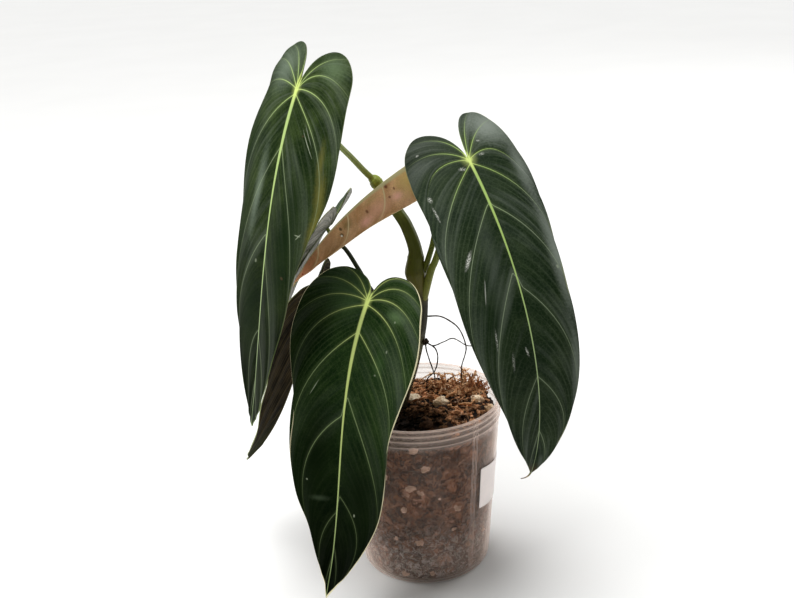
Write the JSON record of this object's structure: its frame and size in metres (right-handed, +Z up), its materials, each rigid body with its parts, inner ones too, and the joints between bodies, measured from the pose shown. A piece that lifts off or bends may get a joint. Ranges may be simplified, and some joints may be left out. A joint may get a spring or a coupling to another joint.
{
  "type": "potted philodendron",
  "caption": "Potted climbing aroid with long heart-shaped velvety leaves hanging from stalks on one stem, in a clear nursery pot of bark mix.",
  "frame": {"origin": "middle of the pot's flat underside, on the surface the pot stands on", "axes": "+Z up along the pot's axis; -Y toward the front, where the front leaf hangs; +X toward the right-hand leaf"},
  "size_m": [0.2425, 0.2188, 0.3893],
  "materials": {
    "pot": "clear, hazy",
    "label": "matte",
    "bark": "rough, damp",
    "pumice": "rough",
    "moss": "dry, fibrous",
    "root": "matte",
    "stem": "satin",
    "stalk_light": "satin",
    "stalk_dark": "satin",
    "velvet": "velvety",
    "grey_back": "satin",
    "dark_back": "satin",
    "new_pink": "satin"
  },
  "bodies": {
    "root": {"pot": "pot", "label": "label", "substrate": "bark", "pumice_left": "pumice", "pumice_middle": "pumice", "pumice_right": "pumice", "pumice_edge": "pumice", "pumice_front": "pumice", "pumice_back": "pumice", "moss_tuft": "moss", "stem": "stem", "aerial_roots": "root", "petiole_left": "stalk_light", "petiole_right": "stem", "petiole_front": "stalk_dark", "petiole_grey": "stalk_dark", "petiole_dark": "stalk_dark", "petiole_pink": "stalk_light", "blade_left": "velvet", "blade_right": "velvet", "blade_front": "velvet", "blade_grey": "grey_back", "blade_dark": "dark_back", "blade_pink": "new_pink"}
  },
  "joints": []
}
